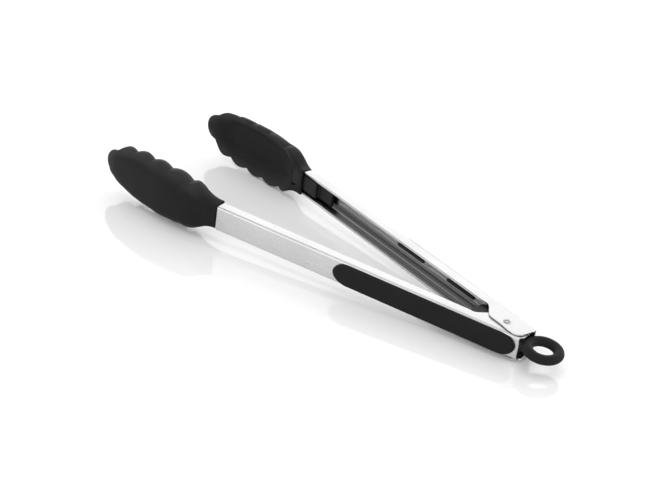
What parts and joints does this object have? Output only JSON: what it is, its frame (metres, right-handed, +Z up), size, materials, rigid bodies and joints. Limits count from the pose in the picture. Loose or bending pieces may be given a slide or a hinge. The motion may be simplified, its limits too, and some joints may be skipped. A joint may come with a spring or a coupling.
{
  "type": "kitchen tongs",
  "caption": "Spring loaded kitchen tongs: two steel channel arms on a sprung pivot, pull-ring lock, soft grips and scalloped soft heads.",
  "frame": {"origin": "middle of the underside of the whole object's box, on the table", "axes": "+X out of the hinge end, -X towards the heads, +Z up through the arms' height, lying on one side"},
  "size_m": [0.334, 0.1066, 0.0376],
  "materials": {
    "brushed_steel": "satin",
    "bright_steel": "polished",
    "spring_steel": "drawn wire",
    "soft_black": "soft matte",
    "hard_black": "fine moulded texture"
  },
  "bodies": {
    "left_arm": {"left_arm": "brushed_steel", "left_grip_pad": "soft_black", "left_grip_carrier": "hard_black", "left_head_core": "hard_black", "left_head_cover": "soft_black", "left_head_pin": "bright_steel", "pivot_rivet": "bright_steel", "torsion_spring": "spring_steel"},
    "right_arm": {"right_arm": "brushed_steel", "right_grip_pad": "soft_black", "right_grip_carrier": "hard_black", "right_head_core": "hard_black", "right_head_cover": "soft_black", "right_head_pin": "bright_steel"},
    "bush": {"pivot_bush": "hard_black"},
    "lock": {"lock_slide": "hard_black", "lock_plate": "bright_steel", "ring_pin": "bright_steel", "ring_core": "hard_black", "pull_ring": "soft_black"}
  },
  "joints": [
    {"name": "arm_hinge", "type": "hinge", "parent": "left_arm", "child": "right_arm", "pos_m": [0.12678, 0, 0.01012], "axis": [0.036, 0, 0.9994], "range_deg": [0, 17], "stiffness_Nm_per_rad": 1.3, "springref_deg": -8.59, "deforming": ["torsion_spring"]},
    {"name": "lock_swing", "type": "hinge", "parent": "left_arm", "child": "bush", "pos_m": [0.12678, 0, 0.01012], "axis": [0.036, 0, 0.9994], "range_deg": [0, 8.5]},
    {"name": "lock_pull", "type": "slide", "parent": "bush", "child": "lock", "axis": [0.9994, 0, -0.036], "range_m": [0, 0.008]}
  ],
  "couplings": [
    {"joint": "lock_swing", "follows": "arm_hinge", "ratio": 0.5}
  ]
}
